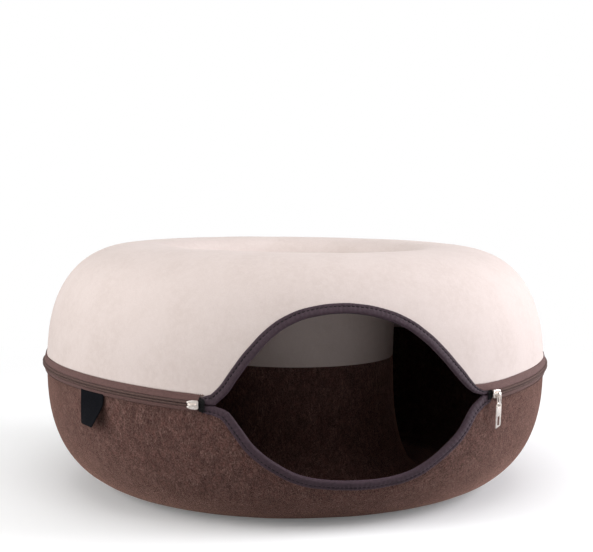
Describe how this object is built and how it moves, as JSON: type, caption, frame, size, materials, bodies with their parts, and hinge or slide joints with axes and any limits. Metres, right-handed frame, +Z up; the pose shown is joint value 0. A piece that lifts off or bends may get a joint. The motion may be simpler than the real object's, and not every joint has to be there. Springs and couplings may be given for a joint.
{
  "type": "felt cat cave",
  "caption": "Ring-shaped felt tunnel for a cat, with a bound almond entrance, a hole through its middle and a zip round its outside that joins a cream top to a brown base.",
  "frame": {"origin": "centre of the bounding box's base, on the floor", "axes": "+X to the right as seen from the entrance, -Y out of the entrance, +Z up"},
  "size_m": [0.6024, 0.5853, 0.2822],
  "materials": {
    "cream_felt": "matt moulded felt",
    "brown_felt": "matt heathered felt with pale fibres",
    "binding_tape": "folded woven tape with a row of stitches",
    "zip_tape": "woven tape",
    "zip_coil": "closed coil under ribbed tape",
    "slider_metal": "bright plated",
    "black_thread": "wound thread",
    "black_ribbon": "satin ribbon"
  },
  "bodies": {
    "root": {"upper_shell": "cream_felt", "lower_shell": "brown_felt", "binding_upper": "binding_tape", "binding_lower": "binding_tape", "zip_tape_upper": "zip_tape", "zip_tape_lower": "zip_tape", "zip_chain": "zip_coil", "slider_left": "slider_metal", "slider_right": "slider_metal", "pull_link": "slider_metal", "pull_tab": "slider_metal", "bartack_left": "black_thread", "bartack_right": "black_thread", "label": "black_ribbon"}
  },
  "joints": []
}
